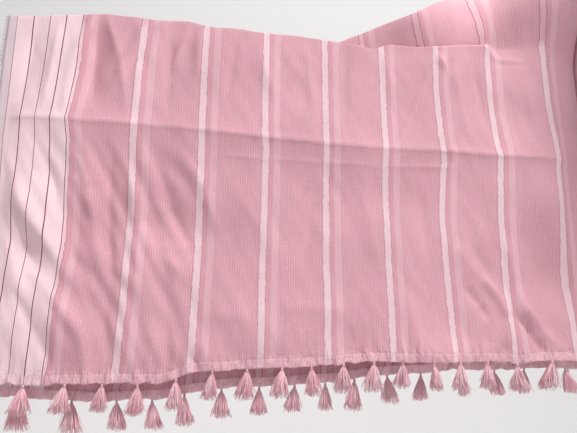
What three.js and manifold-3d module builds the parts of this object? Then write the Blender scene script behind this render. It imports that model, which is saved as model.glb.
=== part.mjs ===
// Chador of a mekhela chador, doubled lengthwise and held up by its top left corner.
// Millimetres. X runs along the cloth to the right, Z is up, and the front layer faces -Y.
// The origin is where the hand holds the top fold's left corner.
import * as THREE from "three";
import { mergeVertices } from "three/addons/utils/BufferGeometryUtils.js";
import Module from "manifold-3d";

// Driving sizes.
const CLOTH_WIDTH = 1145; // hem to hem over the top fold, a 45 inch loom width
const WALL = 1; // thickness of the solid wall that stands for the cloth
const HEM_HEIGHT = 12; // turned and stitched edge
const HEM_WALL = 2; // the turned edge is double
const ROLL = 2.5; // radius of the folds at the top, to the middle of the wall
const SPREAD_START = -4; // X of the left end
const SPREAD_END = 838; // X where the pleats begin
const SEAM = 0.3; // distance between two pieces
const LAYER_GAP_TOP = 4; // front layer to back layer in the pleats, at the top fold
const LAYER_GAP_HEM = 5; // and at the hem
const JOIN_Y = 6; // Y of the middle between the layers where the pleats begin
const HEM_APART = 20; // front layer to back layer at the hem of the spread stretch
const TUCK_OPEN = 0.4; // share of the rise that the tuck takes up where it has opened
const TUCK_REACH = 0.9; // share of the way back to the rising layer that the open tuck covers
const RISE_Y = 4 * ROLL; // Y of the layer that rises out of the tuck
const BACK_Y = 6 * ROLL; // Y of the back layer at the top fold
const HEM_FORWARD = 4; // how far the front layer's hem hangs forward
const CLOSING = 130; // over this length before the pleats the layers come together
const LEAN = 36; // how far the raised part of the top fold leans forward
const LEAN_SPAN = { from: 490, to: 655 }; // X where the lean begins, and where it is full
const LEAN_RISE = 30; // the lean grows over at least this height
const CORNER = 28; // radius of the turn into the first pleat
const PANELS = 18; // flat panels of the pleated stretch
const PANEL_STEP_TOP = 8; // from one panel to the next at the top fold
const PANEL_STEP_HEM = 15; // and at the hem
const PLEAT_FRONT = 28; // Y of the pleats' front turns, below the leaning part
const PLEAT_BACK = 126; // Y of the pleats' back turns
const PLEAT_UNEVEN = 9; // how far one turn stands before or behind the next
const TASSEL_LENGTH = 41;
const TASSEL_PITCH = 47;
const WELD = 1e-4; // points closer than this are one

// Stations of the spread stretch: X, then heights of the front roll, the top fold, the front hem
// and the back hem.
const STATIONS = [
  { x: -4, roll: 3, top: 1, frontHem: -497, backHem: -512 },
  { x: 24, roll: 5.5, top: 3.5, frontHem: -497, backHem: -512 },
  { x: 57, roll: 10, top: 8, frontHem: -497, backHem: -513 },
  { x: 99, roll: 15, top: 13, frontHem: -498, backHem: -515 },
  { x: 126, roll: 20, top: 18, frontHem: -496, backHem: -516 },
  { x: 166, roll: 17, top: 15, frontHem: -495, backHem: -517 },
  { x: 203, roll: 16, top: 14, frontHem: -494, backHem: -515 },
  { x: 242, roll: 20, top: 18, frontHem: -493, backHem: -513 },
  { x: 273, roll: 14, top: 12, frontHem: -481, backHem: -506 },
  { x: 320, roll: 14, top: 12, frontHem: -477, backHem: -499 },
  { x: 360, roll: 11, top: 9, frontHem: -474, backHem: -497 },
  { x: 408, roll: 11, top: 9, frontHem: -472, backHem: -494 },
  { x: 457, roll: 7.5, top: 8, frontHem: -468, backHem: -490 },
  { x: 498, roll: 5, top: 25, frontHem: -464, backHem: -484 },
  { x: 524, roll: 1, top: 37, frontHem: -463, backHem: -481 },
  { x: 548, roll: 9, top: 47, frontHem: -464, backHem: -479 },
  { x: 589, roll: 9, top: 62, frontHem: -464, backHem: -477 },
  { x: 630, roll: 14, top: 80, frontHem: -463, backHem: -472 },
  { x: 680, roll: 20, top: 92, frontHem: -461, backHem: -472 },
  { x: 712, roll: 18, top: 97, frontHem: -463, backHem: -471 },
  { x: 745, roll: -2, top: 102, frontHem: -459, backHem: -468 },
  { x: 780, roll: 0, top: 106, frontHem: -458, backHem: -468 },
  { x: 838, roll: 10, top: 108, frontHem: -461, backHem: -468 },
];

// Folds fade over these lengths from the held end and toward the pleats, and at their own ends
// start from this share of their depth.
const FOLD_FADE = { corner: 6, held: 40, pleats: 60, ends: 0.12 };

// Soft folds of the spread stretch. A fold runs from (x1, z1) to (x2, z2), is about `wide` across
// and comes `out` millimetres toward the front, or goes back where `out` is negative.
const FOLDS = [
  { x1: -20, z1: -154, x2: 340, z2: -158, wide: 14, out: 2.5 }, // packing crease, left
  { x1: 340, z1: -158, x2: 860, z2: -163, wide: 14, out: 2.5 }, // packing crease, right
  { x1: 126, z1: 30, x2: 118, z2: -110, wide: 22, out: -5 },
  { x1: 170, z1: 20, x2: 150, z2: -120, wide: 22, out: 4 },
  { x1: 205, z1: 20, x2: 200, z2: -60, wide: 20, out: 3 },
  { x1: 245, z1: 24, x2: 238, z2: -60, wide: 22, out: -4 },
  { x1: -10, z1: -250, x2: 110, z2: -330, wide: 20, out: 4 },
  { x1: -10, z1: -300, x2: 150, z2: -400, wide: 22, out: -4 },
  { x1: 10, z1: -350, x2: 190, z2: -470, wide: 22, out: 5 },
  { x1: 120, z1: -210, x2: 230, z2: -300, wide: 24, out: -3 },
  { x1: 607, z1: -18, x2: 560, z2: -130, wide: 20, out: -3 },
  { x1: 690, z1: -355, x2: 730, z2: -430, wide: 18, out: -5 },
  { x1: 752, z1: -395, x2: 785, z2: -450, wide: 18, out: -5 },
  { x1: 640, z1: -300, x2: 675, z2: -440, wide: 26, out: 4 },
];

// How many steps each part of the section has, from the front hem over the top to the back hem.
const SECTION = { fall: 6, turn: 4, tuck: 2, rise: 3, lean: 5, back: 5, columns: 34 };
const PLEAT_SECTION = { fall: 2, rise: 2, turn: 3, straight: 1, bend: 3, corner: 3 };

const mix = (a, b, t) => a + (b - a) * t;
const ease = (a, b, x) => {
  const t = Math.min(1, Math.max(0, (x - a) / (b - a)));
  return t * t * (3 - 2 * t);
};

// Steady numbers between 0 and 1, for what is uneven in the pleats and tassels.
const uneven = (n) => {
  const s = Math.sin(n * 12.9898) * 43758.5453;
  return s - Math.floor(s);
};

// A smooth curve through one column of a table whose rows are sorted by x.
function along(table, column, x) {
  const last = table.length - 1;
  let i = 0;
  while (i < last - 1 && table[i + 1].x < x) i += 1;
  const [a, b] = [table[i], table[i + 1]];
  const span = b.x - a.x;
  const slope = (k) => {
    const [p, q] = [table[Math.max(0, k - 1)], table[Math.min(last, k + 1)]];
    return ((q[column] - p[column]) / (q.x - p.x)) * span;
  };
  const t = Math.min(1, Math.max(0, (x - a.x) / span));
  const [t2, t3] = [t * t, t * t * t];
  return (
    a[column] * (2 * t3 - 3 * t2 + 1) +
    slope(i) * (t3 - 2 * t2 + t) +
    b[column] * (3 * t2 - 2 * t3) +
    slope(i + 1) * (t3 - t2)
  );
}

// How far the soft folds move the cloth toward the back at a place. They fade at the held corner
// and where the pleats begin.
function foldDepth(x, z) {
  let out = 0;
  for (const f of FOLDS) {
    const [dx, dz] = [f.x2 - f.x1, f.z2 - f.z1];
    const t = ((x - f.x1) * dx + (z - f.z1) * dz) / (dx * dx + dz * dz);
    const near = Math.min(1, Math.max(0, t));
    const away = Math.hypot(x - f.x1 - near * dx, z - f.z1 - near * dz);
    const ends = Math.sin(Math.PI * Math.min(0.5, FOLD_FADE.ends + Math.min(near, 1 - near)));
    out += f.out * ends * Math.exp(-((away / f.wide) ** 2));
  }
  const fromHeld = x - SPREAD_START - FOLD_FADE.corner;
  return -out * ease(0, FOLD_FADE.held, fromHeld) * ease(0, FOLD_FADE.pleats, SPREAD_END - x);
}

// The raised part of the top fold leans forward, from the middle of the cloth to the pleats.
function leanDepth(x, z, top) {
  return -LEAN * ease(LEAN_SPAN.from, LEAN_SPAN.to, x) * ease(0, Math.max(top, LEAN_RISE), z);
}

// One section of the spread stretch: [y, z] from the front hem, up to the front roll, down and up
// through the tuck behind it, over the top fold and down the back.
function spreadSection(x) {
  const [roll, top, frontHem, backHem] = ["roll", "top", "frontHem", "backHem"].map((c) =>
    along(STATIONS, c, x),
  );
  const valley = (2 * roll + 2 * top - frontHem - backHem - CLOTH_WIDTH) / 2;
  const folded = ease(2 * ROLL, 5 * ROLL, roll - valley); // 1 where the tuck is folded, 0 where open
  const atPleats = ease(SPREAD_END - CLOSING, SPREAD_END, x); // 1 where the pleats begin
  const gap = (t) => mix(LAYER_GAP_TOP, LAYER_GAP_HEM, t);
  const frontY = (t) => mix(-HEM_FORWARD * t, JOIN_Y - gap(t) / 2, atPleats);
  const topY = mix(RISE_Y, JOIN_Y - LAYER_GAP_TOP / 2, atPleats);
  const backY = (t) => mix(mix(BACK_Y, HEM_APART, t), JOIN_Y + gap(t) / 2, atPleats);
  const radius = mix(ROLL, LAYER_GAP_TOP / 2, atPleats);
  const low = Math.min(valley, roll - 2 * ROLL);
  const points = [];
  const kneeZ = roll - ROLL;
  points.push([frontY(1), frontHem], [frontY(1), frontHem + HEM_HEIGHT]);
  for (let i = 1; i <= SECTION.fall; i += 1) {
    const t = i / SECTION.fall;
    points.push([frontY(1 - t), mix(frontHem + HEM_HEIGHT, kneeZ, t)]);
  }
  // The tuck, blended between folded and open.
  const tuck = [];
  const turn = (y, z, r, way) => {
    for (let i = 1; i <= SECTION.turn; i += 1) {
      const a = Math.PI * (1 - i / SECTION.turn);
      tuck.push([y + r + r * Math.cos(a), z + way * r * Math.sin(a)]);
    }
  };
  turn(0, kneeZ, ROLL, 1);
  for (let i = 1; i <= SECTION.tuck; i += 1)
    tuck.push([2 * ROLL, mix(kneeZ, low + ROLL, i / SECTION.tuck)]);
  turn(2 * ROLL, low + ROLL, ROLL, -1);
  const topKnee = top - radius;
  const from = points[points.length - 1];
  const openTop = mix(kneeZ, topKnee, TUCK_OPEN);
  for (let i = 0; i < tuck.length; i += 1) {
    const t = (i + 1) / tuck.length;
    const openY = mix(from[0], topY, ease(0, 1, t) * TUCK_REACH);
    points.push([
      mix(openY, tuck[i][0] + from[0] * (1 - folded), folded),
      mix(mix(kneeZ, openTop, t), tuck[i][1], folded),
    ]);
  }
  const bottom = points[points.length - 1];
  for (let i = 1; i <= SECTION.rise; i += 1) {
    const t = i / SECTION.rise;
    points.push([mix(bottom[0], topY, t), mix(bottom[1], topKnee, t)]);
  }
  for (let i = 1; i <= SECTION.turn; i += 1) {
    const a = Math.PI * (1 - i / SECTION.turn);
    const wide = (backY(0) - topY) / 2;
    points.push([topY + wide + wide * Math.cos(a), topKnee + radius * Math.sin(a)]);
  }
  // The back has more steps where the top fold leans, so that it stays parallel to the front.
  const backAt = (z) => backY((topKnee - z) / (topKnee - backHem));
  const leanEnd = Math.min(bottom[1], -2 * ROLL);
  for (let i = 1; i <= SECTION.lean; i += 1) {
    const z = mix(topKnee, leanEnd, i / SECTION.lean);
    points.push([backAt(z), z]);
  }
  for (let i = 1; i <= SECTION.back; i += 1) {
    const z = mix(leanEnd, backHem + HEM_HEIGHT, i / SECTION.back);
    points.push([backAt(z), z]);
  }
  points.push([backY(1), backHem]);
  return points.map(([y, z]) => [x, y + foldDepth(x, z) + leanDepth(x, z, top), z]);
}

// The pleats' path seen from above at a height, as [x, y, tangent x, tangent y].
function pleatPath(step) {
  const places = [];
  const cornerX = SPREAD_END + SEAM;
  for (let i = 0; i <= PLEAT_SECTION.corner; i += 1) {
    const a = ((i / PLEAT_SECTION.corner) * Math.PI) / 2;
    places.push([
      cornerX + CORNER * Math.sin(a),
      JOIN_Y + CORNER * (1 - Math.cos(a)),
      Math.cos(a),
      Math.sin(a),
    ]);
  }
  const firstX = cornerX + CORNER;
  const half = step / 2;
  for (let k = 0; k < PANELS; k += 1) {
    const back = k % 2 === 0;
    const x = firstX + k * step;
    const off = PLEAT_UNEVEN * (uneven(k + 3) - 0.5);
    const to = off + (back ? PLEAT_BACK - half : PLEAT_FRONT + half);
    const from = places[places.length - 1][1];
    for (let i = 1; i <= PLEAT_SECTION.straight; i += 1)
      places.push([x, mix(from, to, i / PLEAT_SECTION.straight), 0, back ? 1 : -1]);
    if (k === PANELS - 1) break;
    for (let i = 1; i <= PLEAT_SECTION.bend; i += 1) {
      const a = (i / PLEAT_SECTION.bend) * Math.PI;
      const way = back ? 1 : -1;
      places.push([
        x + half - half * Math.cos(a),
        to + way * half * Math.sin(a),
        Math.sin(a),
        way * Math.cos(a),
      ]);
    }
  }
  return places;
}

const PLEAT_COLUMNS = pleatPath(PANEL_STEP_TOP).length;
const joint = Object.fromEntries(
  ["top", "frontHem", "backHem"].map((c) => [c, along(STATIONS, c, SPREAD_END)]),
);
// 0 at the top fold, 1 at the hem.
const downShare = (z) => Math.min(1, Math.max(0, (joint.top - z) / (joint.top - joint.frontHem)));
const pathsAt = new Map();
function pleatPlace(column, z, side) {
  const t = downShare(z);
  const key = t.toFixed(4);
  if (!pathsAt.has(key)) pathsAt.set(key, pleatPath(mix(PANEL_STEP_TOP, PANEL_STEP_HEM, t)));
  const [x, y, tx, ty] = pathsAt.get(key)[column];
  const gap = (mix(LAYER_GAP_TOP, LAYER_GAP_HEM, t) / 2) * side;
  return [x + ty * gap, y - tx * gap + leanDepth(SPREAD_END, z, joint.top), z];
}

// One section of the pleated stretch, from the front hem over the top fold to the back hem.
function pleatSection(column) {
  const radius = LAYER_GAP_TOP / 2;
  const knee = joint.top - radius;
  const points = [];
  const fall = (hem, side, up) => {
    const run = [pleatPlace(column, hem, side)];
    for (let i = 0; i <= PLEAT_SECTION.fall; i += 1)
      run.push(pleatPlace(column, mix(hem + HEM_HEIGHT, 0, i / PLEAT_SECTION.fall), side));
    for (let i = 1; i <= PLEAT_SECTION.rise; i += 1)
      run.push(pleatPlace(column, mix(0, knee, i / PLEAT_SECTION.rise), side));
    return up ? run : run.reverse();
  };
  points.push(...fall(joint.frontHem, 1, true));
  for (let i = 1; i < PLEAT_SECTION.turn; i += 1) {
    const a = Math.PI * (i / PLEAT_SECTION.turn);
    points.push(pleatPlace(column, knee, Math.cos(a)));
    points[points.length - 1][2] = knee + radius * Math.sin(a);
  }
  points.push(...fall(joint.backHem, -1, false));
  return points;
}

// A closed wall around a grid of points, rows by columns, with a thickness for each row. At its
// seam column the wall ends square to X, so that the two walls stay one seam apart.
const SQUARE = new THREE.Vector3(1, 0, 0);
function wallFrom(grid, thickness, seamColumn) {
  const [cols, rows] = [grid.length, grid[0].length];
  const at = (i, j) => new THREE.Vector3(...grid[i][j]);
  const positions = [];
  const index = [];
  const clampTo = (v, n) => Math.min(n - 1, Math.max(0, v));
  for (const side of [1, -1])
    for (let i = 0; i < cols; i += 1)
      for (let j = 0; j < rows; j += 1) {
        const chord = at(clampTo(i + 1, cols), j).sub(at(clampTo(i - 1, cols), j)).normalize();
        const du = i === seamColumn ? SQUARE.clone() : chord;
        const before = at(i, j).sub(at(i, clampTo(j - 1, rows))).normalize();
        const after = at(i, clampTo(j + 1, rows)).sub(at(i, j)).normalize();
        const n = du.cross(before.add(after)).normalize();
        const p = at(i, j).addScaledVector(n, (side * thickness(j)) / 2);
        positions.push(p.x, p.y, p.z);
      }
  const id = (side, i, j) => side * cols * rows + i * rows + j;
  const quad = (a, b, c, d) => index.push(a, b, c, a, c, d);
  for (let i = 0; i < cols - 1; i += 1)
    for (let j = 0; j < rows - 1; j += 1) {
      quad(id(0, i, j), id(0, i + 1, j), id(0, i + 1, j + 1), id(0, i, j + 1));
      quad(id(1, i, j), id(1, i, j + 1), id(1, i + 1, j + 1), id(1, i + 1, j));
    }
  for (let i = 0; i < cols - 1; i += 1) {
    quad(id(0, i, 0), id(1, i, 0), id(1, i + 1, 0), id(0, i + 1, 0));
    quad(id(0, i + 1, rows - 1), id(1, i + 1, rows - 1), id(1, i, rows - 1), id(0, i, rows - 1));
  }
  for (let j = 0; j < rows - 1; j += 1) {
    quad(id(0, 0, j), id(0, 0, j + 1), id(1, 0, j + 1), id(1, 0, j));
    const e = cols - 1;
    quad(id(0, e, j + 1), id(0, e, j), id(1, e, j), id(1, e, j + 1));
  }
  return outward(positions, index);
}

// A geometry whose faces point outward.
function outward(positions, index) {
  let volume = 0;
  const v = (k) => new THREE.Vector3().fromArray(positions, 3 * k);
  for (let t = 0; t < index.length; t += 3)
    volume += v(index[t]).dot(v(index[t + 1]).cross(v(index[t + 2])));
  if (volume < 0)
    for (let t = 0; t < index.length; t += 3)
      [index[t + 1], index[t + 2]] = [index[t + 2], index[t + 1]];
  const geometry = new THREE.BufferGeometry();
  geometry.setAttribute("position", new THREE.Float32BufferAttribute(positions, 3));
  geometry.setIndex(index);
  return geometry;
}

// A closed four-sided strand through points, each with half widths along the hem and across it.
function strand(path, aside, across) {
  const positions = [];
  const index = [];
  path.forEach(({ at, wide, thick }) => {
    for (const [s, c] of [[-1, -1], [1, -1], [1, 1], [-1, 1]]) {
      const p = at.clone().addScaledVector(aside, s * wide).addScaledVector(across, c * thick);
      positions.push(p.x, p.y, p.z);
    }
  });
  for (let i = 0; i < path.length - 1; i += 1)
    for (let k = 0; k < 4; k += 1) {
      const [a, b] = [4 * i + k, 4 * i + ((k + 1) % 4)];
      index.push(a, b, b + 4, a, b + 4, a + 4);
    }
  const e = 4 * (path.length - 1);
  index.push(0, 2, 1, 0, 3, 2, e, e + 1, e + 2, e, e + 2, e + 3);
  return outward(positions, index);
}

const wasm = await Module();
wasm.setup();

// Joins closed geometries into one solid.
function joined(geometries) {
  let whole = null;
  for (const geometry of geometries) {
    const merged = mergeVertices(geometry, WELD);
    const solid = new wasm.Manifold(
      new wasm.Mesh({
        numProp: 3,
        vertProperties: new Float32Array(merged.attributes.position.array),
        triVerts: new Uint32Array(merged.index.array),
      }),
    );
    whole = whole ? whole.add(solid) : solid;
  }
  const mesh = whole.getMesh();
  const geometry = new THREE.BufferGeometry();
  geometry.setAttribute("position", new THREE.BufferAttribute(mesh.vertProperties, 3));
  geometry.setIndex(new THREE.BufferAttribute(mesh.triVerts, 1));
  return geometry;
}

// The narrow strip that the tassels of one edge hang from, one seam under the hem.
const STRIP = { drop: 1.06, half: 0.6 };
function stripOf(edge) {
  const positions = [];
  const index = [];
  edge.forEach((p, i) => {
    const before = edge[Math.max(0, i - 1)];
    const after = edge[Math.min(edge.length - 1, i + 1)];
    const flat = new THREE.Vector3(after.x - before.x, after.y - before.y, 0).normalize();
    const out = new THREE.Vector3(flat.y, -flat.x, 0);
    for (const [o, u] of [[-1, -1], [1, -1], [1, 1], [-1, 1]]) {
      const q = p.clone().addScaledVector(out, o * STRIP.half);
      positions.push(q.x, q.y, q.z - STRIP.drop + u * STRIP.half);
    }
  });
  for (let i = 0; i < edge.length - 1; i += 1)
    for (let k = 0; k < 4; k += 1) {
      const [a, b] = [4 * i + k, 4 * i + ((k + 1) % 4)];
      index.push(a, b, b + 4, a, b + 4, a + 4);
    }
  const e = 4 * (edge.length - 1);
  index.push(0, 2, 1, 0, 3, 2, e, e + 1, e + 2, e, e + 2, e + 3);
  return outward(positions, index);
}

// A place on an edge, at a length along it, with the edge's direction there.
function placeOn(edge, length) {
  let left = length;
  for (let i = 0; i < edge.length - 1; i += 1) {
    const step = edge[i + 1].distanceTo(edge[i]);
    if (left <= step || i === edge.length - 2) {
      const way = edge[i + 1].clone().sub(edge[i]).setZ(0).normalize();
      return { at: edge[i].clone().lerp(edge[i + 1], Math.min(1, left / step)), way };
    }
    left -= step;
  }
  throw new Error("an edge needs two points");
}

// One tassel: a head with its knot, and locks that spread below it.
const DOWN = new THREE.Vector3(0, 0, -1);
const HEAD = { root: 0.6, above: 0.2, knot: 2.2, neck: 1.5, knotAt: 5, neckAt: 10, flat: 0.8 };
const LOCK = { root: 0.8, tip: 1.9, sunk: 0.8, rootApart: 0.6, shortest: 0.94, uneven: 0.12, stray: 3 };
function tassel(place, lean, locks, spread, length, seed) {
  const { at, way } = place;
  const across = new THREE.Vector3(way.y, -way.x, 0);
  const hang = DOWN.clone().addScaledVector(way, lean).normalize();
  const root = at.clone().addScaledVector(DOWN, STRIP.drop);
  const point = (d, sideways, outOf) =>
    root.clone().addScaledVector(hang, d).addScaledVector(way, sideways).addScaledVector(across, outOf);
  const ring = (d, half, sideways = 0, outOf = 0) => ({
    at: point(d, sideways, outOf),
    wide: half,
    thick: half * HEAD.flat,
  });
  const head = [ring(-HEAD.above, HEAD.root), ring(HEAD.knotAt, HEAD.knot), ring(HEAD.neckAt, HEAD.neck)];
  if (locks === 1) return [strand([...head, ring(length, spread)], way, across)];
  const made = [strand(head, way, across)];
  for (let i = 0; i < locks; i += 1) {
    const t = (2 * i) / (locks - 1) - 1;
    const long = length * (LOCK.shortest + LOCK.uneven * uneven(seed * 7 + i));
    const outOf = (uneven(seed * 11 + i) - 0.5) * LOCK.stray;
    const lock = [
      ring(HEAD.neckAt - LOCK.sunk, LOCK.root, t * LOCK.rootApart),
      ring(long, LOCK.tip, t * spread, outOf),
    ];
    made.push(strand(lock, way, across));
  }
  return made;
}

// Tassels of the spread stretch where the photograph has them: X, lean along the hem, half spread.
const FRONT_TASSELS = [
  { x: 28, lean: 0.05, spread: 4 }, { x: 73, lean: -0.08, spread: 6 },
  { x: 123, lean: -0.1, spread: 7 }, { x: 167, lean: -0.08, spread: 6 },
  { x: 210, lean: 0.0, spread: 7 }, { x: 256, lean: 0.12, spread: 6 },
  { x: 301, lean: -0.1, spread: 6 }, { x: 345, lean: -0.1, spread: 6 },
  { x: 390, lean: -0.12, spread: 7 }, { x: 428, lean: 0.1, spread: 6 },
  { x: 471, lean: -0.05, spread: 6 }, { x: 512, lean: 0.05, spread: 7 },
  { x: 550, lean: -0.1, spread: 6 }, { x: 590, lean: 0.1, spread: 6 },
  { x: 629, lean: 0.0, spread: 6 }, { x: 669, lean: -0.1, spread: 6 },
  { x: 713, lean: 0.0, spread: 7 }, { x: 764, lean: 0.1, spread: 6 },
  { x: 812, lean: 0.0, spread: 5 },
];
const BACK_TASSELS = [
  { x: 12, lean: 0.05, spread: 5 }, { x: 62, lean: 0.08, spread: 6 },
  { x: 128, lean: 0.05, spread: 6 }, { x: 183, lean: 0.15, spread: 7 },
  { x: 227, lean: -0.05, spread: 6 }, { x: 267, lean: 0.1, spread: 6 },
  { x: 314, lean: 0.0, spread: 6 }, { x: 363, lean: 0.0, spread: 6 },
  { x: 410, lean: -0.1, spread: 7 }, { x: 451, lean: 0.0, spread: 6 },
  { x: 491, lean: -0.1, spread: 6 }, { x: 536, lean: 0.1, spread: 6 },
  { x: 581, lean: -0.1, spread: 6 }, { x: 643, lean: 0.0, spread: 6 },
  { x: 690, lean: 0.1, spread: 6 }, { x: 733, lean: -0.1, spread: 6 },
  { x: 789, lean: 0.0, spread: 6 },
];
const SPREAD_LOCKS = 3; // locks of a tassel in the spread stretch
const PLEAT_SPREAD = 2.4; // half width of a tassel's tip in the pleats
const PLEAT_FIRST = { front: 18, back: 41 }; // first tassel along each edge of the pleats
const PLEAT_LAST = 6; // the last one stays this far from the edge's end
const STRIP_INSET = 0.5; // the strips of the pleats start this far past the seam
const UNEVEN_LENGTH = { least: 0.94, more: 0.1 }; // a tassel's length, as a share of the full one

function spreadTassels(edge, table, seed) {
  const pieces = [stripOf(edge)];
  table.forEach((row, i) => {
    const k = Math.max(1, edge.findIndex((p) => p.x > row.x));
    const t = (row.x - edge[k - 1].x) / (edge[k].x - edge[k - 1].x);
    const place = { at: edge[k - 1].clone().lerp(edge[k], t), way: new THREE.Vector3(1, 0, 0) };
    const long = TASSEL_LENGTH * (UNEVEN_LENGTH.least + UNEVEN_LENGTH.more * uneven(seed + i));
    pieces.push(...tassel(place, row.lean, SPREAD_LOCKS, row.spread, long, seed + i));
  });
  return joined(pieces);
}

function pleatTassels(edge, first, seed) {
  const pieces = [stripOf(edge)];
  let total = 0;
  for (let i = 1; i < edge.length; i += 1) total += edge[i].distanceTo(edge[i - 1]);
  for (let at = first; at < total - PLEAT_LAST; at += TASSEL_PITCH) {
    const n = Math.round(at / TASSEL_PITCH) + seed;
    const long = TASSEL_LENGTH * (UNEVEN_LENGTH.least + UNEVEN_LENGTH.more * uneven(n));
    pieces.push(...tassel(placeOn(edge, at), 0, 1, PLEAT_SPREAD, long, n));
  }
  return joined(pieces);
}

const group = new THREE.Group();
function add(name, geometry, color) {
  const flat = geometry.index ? geometry : mergeVertices(geometry);
  flat.computeVertexNormals();
  const material = new THREE.MeshStandardMaterial({ color, roughness: 0.7, metalness: 0 });
  material.side = THREE.FrontSide;
  const mesh = new THREE.Mesh(flat, material);
  mesh.name = name;
  group.add(mesh);
}

const spreadGrid = [];
for (let i = 0; i <= SECTION.columns; i += 1)
  spreadGrid.push(spreadSection(mix(SPREAD_START, SPREAD_END, i / SECTION.columns)));
const pleatGrid = [];
for (let i = 0; i < PLEAT_COLUMNS; i += 1) pleatGrid.push(pleatSection(i));
const thicknessOf = (rows) => (j) => (j < 2 || j > rows - 3 ? HEM_WALL : WALL);
const spreadWall = wallFrom(spreadGrid, thicknessOf(spreadGrid[0].length), SECTION.columns);
add("spread_fall", spreadWall, 0xe2b2bd);
add("pleated_fall", wallFrom(pleatGrid, thicknessOf(pleatGrid[0].length), 0), 0xdfabb7);

const edgeOf = (grid, j) => grid.map((row) => new THREE.Vector3(...row[j < 0 ? row.length - 1 : j]));
const shortened = (edge, by) => {
  const [a, b] = edge.slice(0, 2);
  const start = a.clone().lerp(b, by / a.distanceTo(b));
  return [start, ...edge.slice(1)];
};
add("front_tassels", spreadTassels(edgeOf(spreadGrid, 0), FRONT_TASSELS, 1), 0xe9bfc9);
add("back_tassels", spreadTassels(edgeOf(spreadGrid, -1), BACK_TASSELS, 40), 0xd9a8b4);
const pleatEdge = (j) => shortened(edgeOf(pleatGrid, j), STRIP_INSET);
add("pleat_tassels_front", pleatTassels(pleatEdge(0), PLEAT_FIRST.front, 80), 0xe9bfc9);
add("pleat_tassels_back", pleatTassels(pleatEdge(-1), PLEAT_FIRST.back, 140), 0xd9a8b4);

export default group;
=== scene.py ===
import math

import bpy
import numpy as np
from mathutils import Matrix, Vector, noise


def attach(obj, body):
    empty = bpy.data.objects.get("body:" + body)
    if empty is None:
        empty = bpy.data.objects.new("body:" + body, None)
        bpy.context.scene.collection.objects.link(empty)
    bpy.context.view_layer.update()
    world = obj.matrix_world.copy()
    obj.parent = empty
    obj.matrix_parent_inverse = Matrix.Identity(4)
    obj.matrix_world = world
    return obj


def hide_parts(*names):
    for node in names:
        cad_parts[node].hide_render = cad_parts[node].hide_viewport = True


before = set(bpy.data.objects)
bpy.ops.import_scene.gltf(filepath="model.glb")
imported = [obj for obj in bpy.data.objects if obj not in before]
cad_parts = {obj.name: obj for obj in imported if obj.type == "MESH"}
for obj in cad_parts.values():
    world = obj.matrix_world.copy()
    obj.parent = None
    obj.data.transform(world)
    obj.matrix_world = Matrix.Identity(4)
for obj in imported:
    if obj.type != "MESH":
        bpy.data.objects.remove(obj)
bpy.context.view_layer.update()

# Camera
# A 37 mm lens a little under 0.8 m in front of the cloth and level with its hem, looking up by
# 15 degrees and 8 degrees to the right.
IMAGE_WIDTH = 577
FOCAL_PIXELS = 600
EYE = Vector((0.2852, -0.7932, -0.4802))
YAW, PITCH, ROLL = 0.1389, 0.2563, 0.0129
ahead = Vector((math.sin(YAW) * math.cos(PITCH), math.cos(YAW) * math.cos(PITCH), math.sin(PITCH)))
level = Vector((math.cos(YAW), -math.sin(YAW), 0))
above = level.cross(ahead)
right = level * math.cos(ROLL) + above * math.sin(ROLL)
up = above * math.cos(ROLL) - level * math.sin(ROLL)
camera_data = bpy.data.cameras.new("camera")
camera_data.sensor_width = 36
camera_data.lens = 36 * FOCAL_PIXELS / IMAGE_WIDTH
camera_data.clip_start, camera_data.clip_end = 0.02, 30
camera = bpy.data.objects.new("camera", camera_data)
bpy.context.scene.collection.objects.link(camera)
camera.matrix_world = Matrix.Translation(EYE) @ Matrix((right, up, -ahead)).transposed().to_4x4()
bpy.context.scene.camera = camera

# Body cloth, spread stretch
# One light woven length, doubled over a top fold and held up by its corner. Its long edges are
# turned up 12 mm and stitched. Behind the front roll some of the width is tucked away, and to the
# right the tuck opens and the top fold rises out of it. All sizes are in millimetres.
MM = 0.001
CLOTH_WIDTH = 1145
CLOTH_LENGTH = 2732
CLOTH_THICK = 0.5
HEM_HEIGHT = 12
TURN_RADIUS = 2.5
SPREAD_START, SPREAD_END = -4, 838
ALONG_START = 4  # the end of the cloth is at X -4, so a length along the cloth is X plus this
GAP_TOP, GAP_HEM = 4, 5  # front layer to back layer where the pleats begin
JOIN_Y = 6  # the middle between the layers there
CLOSING = 130  # over this length before the pleats the layers come together
HEM_APART = 20
HEM_FORWARD = 4
TOP_Y, BACK_Y = 10, 15  # the layer that rises out of the tuck, and the back layer at the top fold
TUCK_OPEN, TUCK_REACH = 0.35, 0.9  # share of the rise, and of the way back, that the open tuck covers
LEAN, LEAN_FROM, LEAN_TO, LEAN_RISE = 36, 490, 655, 30
SEAM_FADE = 60  # the folds fade out over this length before the pleats
END_FADE = 40  # and over this length from the left end
STATION_COLUMNS = ("x", "roll", "top", "front_hem", "back_hem")
STATIONS = np.array([
    (-4, 3, 1, -497, -512), (24, 5.5, 3.5, -497, -512), (57, 10, 8, -497, -513),
    (99, 15, 13, -498, -515), (126, 20, 18, -496, -516), (166, 17, 15, -495, -517),
    (203, 16, 14, -494, -515), (242, 20, 18, -493, -513), (273, 14, 12, -481, -506),
    (320, 14, 12, -477, -499), (360, 11, 9, -474, -497), (408, 11, 9, -472, -494),
    (457, 7.5, 8, -468, -490), (498, 5, 25, -464, -484), (524, 1, 37, -463, -481),
    (548, 9, 47, -464, -479), (589, 9, 62, -464, -477), (630, 14, 80, -463, -472),
    (680, 20, 92, -461, -472), (711, 18, 97, -463, -471), (724, 3, 99, -462, -470),
    (745, -2, 102, -459, -468), (780, 0, 106, -458, -468), (838, 10, 108, -461, -468),
], float)
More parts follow.
